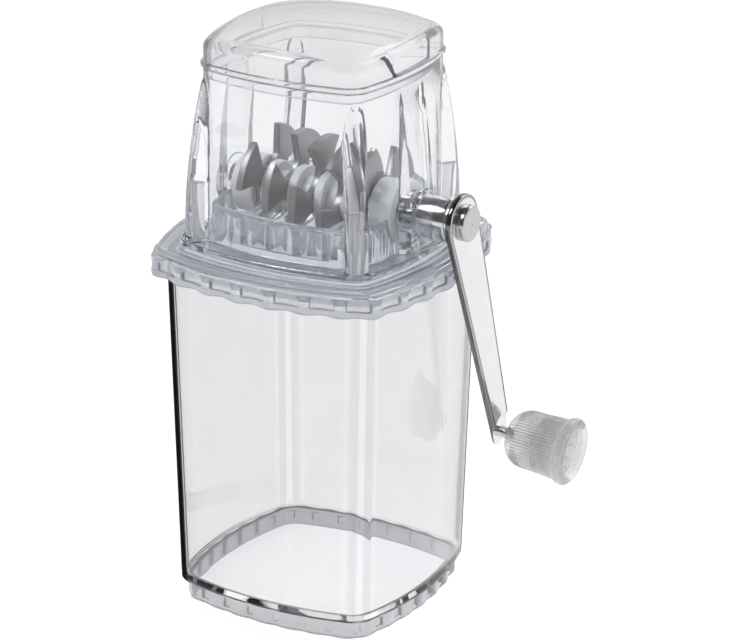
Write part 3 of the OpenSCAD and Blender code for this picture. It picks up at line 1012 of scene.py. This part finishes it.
def lid_mark(index, face):
    """0 for the hazy cover, 1 for the clear plug below it, 2 for painted shade in the fold at one end of the
    grip.
    """
    x, y, z = (sum(lid[0][v][k] for v in face) / len(face) for k in range(3))
    if z < LID_Z + 0.2:
        return 1
    outside = index > len(lid[1]) / 2 and x > 34
    shaded_fold = abs(y + 13.0 + 0.75 * (z - LID_Z - 2.3)) < 1.5 and LID_Z + 2 < z < LID_Z + 11.5
    return 2 if outside and shaded_fold else 0


piece(
    "lid_cover", lid, "lid", CLEAR_LID, ["lid"],
    sharp=40, marks=[lid_mark(index, face) for index, face in enumerate(lid[1])], more=[CLEAR_HEAD, FOLD_SHADE],
)

# ---------------------------------------------------------------- bushes and rotor

SHAFT_R = 5.0
BLADE_R = 25.0
BLADE_T = 3.0
BLADE_PITCH = 12.5
BITE_R = 8.6
BITE_D = 18.0
HUB_T = 4.0
BLADE_STEP = 18
MID_BLADE = 3
DRUM = (26.5, 36.8)
DRUM_R = 12.4


def bush(end, soft, side):
    """A flanged bearing whose flange faces the rotor; side is 1 or -1 along X, soft its outer chamfer."""
    start, bore, flange, body = 37.5, 5.05, 9, 7.45
    outline = [(start, bore), (start, flange - 0.3), (start + 0.3, flange), (start + 1.4, flange)]
    outline += [(start + 1.4, body), (end - soft, body), (end, body - 0.25), (end, bore)]
    return ring_part([(side * x, r) for x, r in outline], SHAFT)


piece("bush_drive", bush(47, 0.2, 1), "head", CLEAR_HEAD, ["bush_crank"])
piece("bush_far", bush(44.6, 0.3, -1), "head", CLEAR_HEAD, ["bush_idle"])


def blade_outline(inset):
    """Disc with four round bites, as a loop of (y, z) about the shaft."""
    r, bite = BLADE_R - inset, BITE_R + inset
    cross = acos((r * r + BITE_D**2 - bite * bite) / (2 * r * BITE_D))
    turn_at = acos((bite * bite + BITE_D**2 - r * r) / (2 * bite * BITE_D))
    loop = []
    for k in range(4):
        mid = pi / 4 + k * pi / 2
        for i in range(21):
            # round the bite, from its lower meeting point with the rim to the upper one
            t = mid + pi + (pi - turn_at) * (1 - i / 10)
            loop.append((BITE_D * cos(mid) + bite * cos(t), BITE_D * sin(mid) + bite * sin(t)))
        for i in range(1, 10):
            t = mid + cross + (pi / 2 - 2 * cross) * i / 10
            loop.append((r * cos(t), r * sin(t)))
    return loop


for n in range(1, 6):
    x = (n - MID_BLADE) * BLADE_PITCH
    place = SHAFT @ Matrix.Rotation(radians(BLADE_STEP * (n - MID_BLADE)), 4, "X")
    piece(
        f"blade_plate_{n}",
        plate(blade_outline, x - BLADE_T / 2, x + BLADE_T / 2, 0.35, place),
        "rotor", STEEL, [f"blade_{n}"],
    )
for n in range(1, 5):
    x = (n - MID_BLADE) * BLADE_PITCH + BLADE_T / 2
    piece(
        f"hub_disc_{n}", lathe(barrel(x, x + HUB_T, 11, 0.6), SHAFT),
        "rotor", PALE, [f"hub_{n}"],
    )
    piece(
        f"spacer_ring_{n}", lathe(barrel(x + HUB_T, x + BLADE_PITCH - BLADE_T, 7, 0.3), SHAFT),
        "rotor", PALE, [f"spacer_{n}"],
    )
for name, start, end, drum in (
    ("drum_far", -DRUM[1], -DRUM[0], "drum_idle"),
    ("drum_near", DRUM[0], DRUM[1], "drum_drive"),
):
    solid = lathe(barrel(start, end, DRUM_R, 0.9), SHAFT)
    piece(name, solid, "rotor", PALE, [drum])

# ---------------------------------------------------------------- crank

SLEEVE_R = 9.4
SLEEVE_X = 47.4
WASHER_X = 60.8
ARM_X = 62.6
ARM_T = 2.8
ARM_LEN = 111.2
ARM_LEAN = 19.8
PIN_DROOP = 5.0
TOP_R = 11.6
END_R = 6.0
FACE_X = ARM_X + ARM_T

piece(
    "shaft_bar", lathe(barrel(-43.6, FACE_X, SHAFT_R, 0.4), SHAFT),
    "rotor", CHROME, ["shaft"],
)
piece(
    "sleeve_shell", ring_part(tube(SLEEVE_X, WASHER_X, SLEEVE_R, SHAFT_R, 0.9), SHAFT),
    "rotor", CHROME, ["sleeve"],
)
piece(
    "washer_ring", ring_part(tube(WASHER_X, ARM_X, SLEEVE_R + 0.8, SHAFT_R, 0.5), SHAFT),
    "rotor", CHROME, ["arm_washer"],
)


def cap_profile():
    """A button on the arm's face, with a small centre dimple."""
    pts = [(FACE_X, 7.1), (FACE_X + 0.4, 7.5), (FACE_X + 2.6, 7.5)]
    pts += [(FACE_X + 2.6 + dy, 6.5 + dx) for dx, dy in fillet(1.0, 6, 0, 90)]
    pts += [(FACE_X + 3.6, r) for r in (5.5, 4, 2.2, 1.0)]
    pts += [(FACE_X + 3.35, 0.75), (FACE_X + 3.2, 0.3)]
    return pts


CAP_METAL = turned_metal("cap_steel", (0.56, 0.565, 0.57), 0.2, (0, 0, SHAFT_Z * MM), 0.00045)
piece("cap_disc", lathe(cap_profile(), SHAFT), "rotor", CAP_METAL, ["cap"])

ON_ARM = Matrix.Translation((ARM_X, 0, SHAFT_Z)) @ Matrix.Rotation(radians(ARM_LEAN), 4, "X")
ON_PIN = ON_ARM @ Matrix.Translation((ARM_T, 0, -ARM_LEN)) @ Matrix.Rotation(radians(PIN_DROOP), 4, "Y")


def arm_outline(inset):
    """Round the shaft end and then the pin end, as a loop of (y, z) about the shaft."""
    reach = acos((TOP_R - END_R) / ARM_LEN)
    loop = []
    for i in range(49):
        t = reach + (2 * pi - 2 * reach) * i / 48
        loop.append(((TOP_R - inset) * sin(t), -(TOP_R - inset) * cos(t)))
    for i in range(33):
        t = reach * (2 * i / 32 - 1)
        loop.append(((END_R - inset) * sin(t), -ARM_LEN - (END_R - inset) * cos(t)))
    return loop


def arm_part():
    """The arm plate, and which of its faces are the chamfer round the outer face, which carries a painted
    dark reflection.
    """
    steps = [(0.7 - dx, 0.7 - dy) for dx, dy in fillet(0.7, 4, 0, 90)]
    steps += [(ARM_T - 0.4, 0), (ARM_T - 0.2, 0.1), (ARM_T, 0.5), (ARM_T - 0.15, 0.8), (ARM_T, 1.5)]
    part = stacked(arm_outline, steps, ON_ARM)
    around = len(arm_outline(0))
    marks = [0] * len(part[1])
    first = (len(steps) - 3) * around
    marks[first : first + 2 * around] = [1] * 2 * around
    return part, marks


arm_solid, painted_chamfer = arm_part()
arm = piece(
    "arm_plate", arm_solid, "rotor", ARM_METAL, ["crank_arm"],
    sharp=12, marks=painted_chamfer, more=[ARM_RIM_REFLECTION],
)
scoop = [(-1.6, 0.01), (-1.6, 7.2), (-1.2, 8.4), (-0.4, 9.0), (3, 9.2), (3, 0.01)]
boolean(arm, lathe(scoop, ON_PIN), "DIFFERENCE")
shade(arm.data, 38)

# ---------------------------------------------------------------- knob

KNOB_GAP = 3.6
KNOB_LEN = 29.5
KNOB_END = KNOB_GAP + KNOB_LEN
KNOB_R = 12.4
RING_R = 14.4
FLARE = 0.8
BORE = 9.8
PIN_R = 2.5
RIBS = 60
RIB_STEPS = 8


def knob_part():
    """The knob, and which of its faces are grooves between ribs, which get painted shade."""
    web = 17.0
    ribs_start = KNOB_GAP + 4
    hole = PIN_R + 0.05
    pts = [(KNOB_GAP, hole), (KNOB_GAP, 4.0)]
    for i in range(17):
        t = pi / 2 * i / 16
        pts.append((KNOB_GAP + 9 * (1 - cos(t)), 5 + (KNOB_R - 5) * sin(t)))
    body_end = KNOB_END - 5.4
    for u in (15, 17, 19, 21, 23, 25, 26.4, body_end):
        pts.append((u, KNOB_R + FLARE * ((u - 13) / (body_end - 13)) ** 2))
    pts += [(KNOB_END - 5.0, KNOB_R + FLARE), (KNOB_END - 4.6, RING_R - 0.55)]
    pts += [(KNOB_END - 3.8, RING_R - 0.1), (KNOB_END - 3.0, RING_R), (KNOB_END - 1.9, RING_R)]
    pts += [(KNOB_END - 1.0, RING_R - 0.4), (KNOB_END - 0.3, RING_R - 1.3), (KNOB_END, RING_R - 2.2)]
    pts += [(KNOB_END, BORE + 0.8), (KNOB_END - 0.4, BORE + 0.2), (KNOB_END - 1.2, BORE)]
    pts += [(u, BORE) for u in (KNOB_END - 4, 25, 21, web + 0.8)]
    pts += [(web + 0.2, BORE - 0.3), (web, BORE - 0.9), (web, hole)]

    def ribbed(u, r, t):
        if r == BORE and u < KNOB_END - 3:
            return r - 0.3 * (0.5 + 0.5 * cos(RIBS * t))
        if u > body_end or r <= BORE:
            return r
        fade = smooth((u - ribs_start) / 3) * smooth((body_end + 0.3 - u) / 1.2)
        return r - 0.4 * fade * (0.5 - 0.5 * cos(RIBS * t))

    # faces in the grooves between ribs get the painted shade material
    marks = []
    for (u, r), (next_u, _) in zip(pts, pts[1:] + pts[:1]):
        ribs = (ribs_start < u < body_end and r > BORE) or (r == BORE and next_u < u)
        groove = [1 if ribs and 2 <= i < 6 else 0 for i in range(RIB_STEPS)]
        marks += groove * RIBS
    return ring_part(pts, ON_PIN, steps=RIBS * RIB_STEPS, radius=ribbed), marks


knob, knob_shade_marks = knob_part()
piece(
    "knob_grip", knob, "knob", KNOB_CLEAR, ["knob"],
    sharp=50, marks=knob_shade_marks, more=[KNOB_GROOVE_SHADE],
)
piece(
    "pin_bar", lathe(barrel(-ARM_T - 0.6, 19.5, PIN_R, 0.3), ON_PIN),
    "rotor", CHROME, ["knob_pin"],
)
piece(
    "retainer_ring", ring_part(tube(17.3, 18.9, 4.2, PIN_R, 0.4), ON_PIN),
    "rotor", CHROME, ["knob_retainer"],
)

# the combs keep their CAD shape
for name in ("comb_front", "comb_rear"):
    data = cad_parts[name].data
    data.materials.clear()
    data.materials.append(TINTED)

# ---------------------------------------------------------------- stage, light and camera


def floor():
    """A pale disc that glows a little; its sizes are in metres."""
    steps = 96
    verts, faces = loft([circle(0, 0, r, steps, 0) for r in (0.3, 1.0, 2.5, 6.0)], cap=False)
    faces.append(tuple(range(steps)))
    mesh = bpy.data.meshes.new("floor")
    mesh.from_pydata(verts, [], faces)
    obj = placed("floor", mesh)
    mat, tree, bsdf = new_material("pale_floor", (0.93, 0.93, 0.93), Roughness=0.55)
    mist = noise(tree, object_space(tree), 6.0, 2.0)
    tree.links.new(ramp(tree, mist, [(0.3, grey(0.92)), (0.7, grey(0.94))]), bsdf.inputs["Base Color"])
    bsdf.inputs["Emission Color"].default_value = (1, 1, 1, 1)
    bsdf.inputs["Emission Strength"].default_value = 0.47
    mesh.materials.append(mat)


def soft_light(name, at, size, power):
    """An area lamp that points at the middle of the object."""
    middle = Vector((0, 0, 0.12))
    data = bpy.data.lights.new(name, "AREA")
    data.shape = "RECTANGLE"
    data.size, data.size_y = size
    data.energy = power
    obj = placed(name, data)
    obj.location = at
    obj.rotation_euler = (middle - Vector(at)).to_track_quat("-Z", "Y").to_euler()


def studio():
    """A white backdrop behind the object, a dark room in front and overhead."""
    world = bpy.data.worlds.new("studio")
    bpy.context.scene.world = world
    world.use_nodes = True
    sky = world.node_tree
    direction = parts_of(sky, "Generated")
    depth = maths(sky, "MULTIPLY_ADD", direction["Y"], 0.5, 0.5)
    backdrop = ramp(sky, depth, [(0.0, grey(0.1)), (0.4, grey(0.14)), (0.55, grey(0.75)), (0.7, grey(1.0))])
    overhead = ramp(sky, direction["Z"], [(0.0, grey(1.0)), (0.55, grey(0.85)), (0.8, grey(0.08))])
    background = sky.nodes["Background"]
    sky.links.new(times(sky, backdrop, overhead), background.inputs["Color"])
    background.inputs["Strength"].default_value = 1.0


floor()
soft_light("key", (-0.9, -1.0, 1.7), (0.7, 0.8), 13)
soft_light("fill", (1.9, -0.5, 0.9), (0.5, 1.6), 6)
soft_light("top", (0.3, 1.5, 1.5), (1.6, 1.0), 11)
studio()

AZIMUTH, ELEVATION, ROLL = radians(29.87), radians(21.35), radians(0.43)
DISTANCE = 1.47428
AIM_RIGHT, AIM_UP = 0.01887, 0.1188
PICTURE_W, FOCAL_PX = 738, 3570.0
SENSOR_MM = 36.0

back = Vector((sin(AZIMUTH) * cos(ELEVATION), -cos(AZIMUTH) * cos(ELEVATION), sin(ELEVATION)))
level_right = Vector((cos(AZIMUTH), sin(AZIMUTH), 0))
level_up = back.cross(level_right)
right = level_right * cos(ROLL) + level_up * sin(ROLL)
up = level_up * cos(ROLL) - level_right * sin(ROLL)
aim = level_right * AIM_RIGHT + Vector((0, 0, AIM_UP))
camera_data = bpy.data.cameras.new("camera")
camera_data.sensor_width = SENSOR_MM
camera_data.lens = SENSOR_MM * FOCAL_PX / PICTURE_W
camera_data.clip_end = 50.0
camera = placed("camera", camera_data)
camera.matrix_world = Matrix((right, up, back)).transposed().to_4x4()
camera.location = aim + back * DISTANCE

scene = bpy.context.scene
scene.camera = camera
scene.view_settings.view_transform = "Standard"
# light trapped in the walls is reflected many times before it leaves
scene.cycles.max_bounces = 28
scene.cycles.transmission_bounces = 28
scene.cycles.glossy_bounces = 28
scene.cycles.transparent_max_bounces = 32
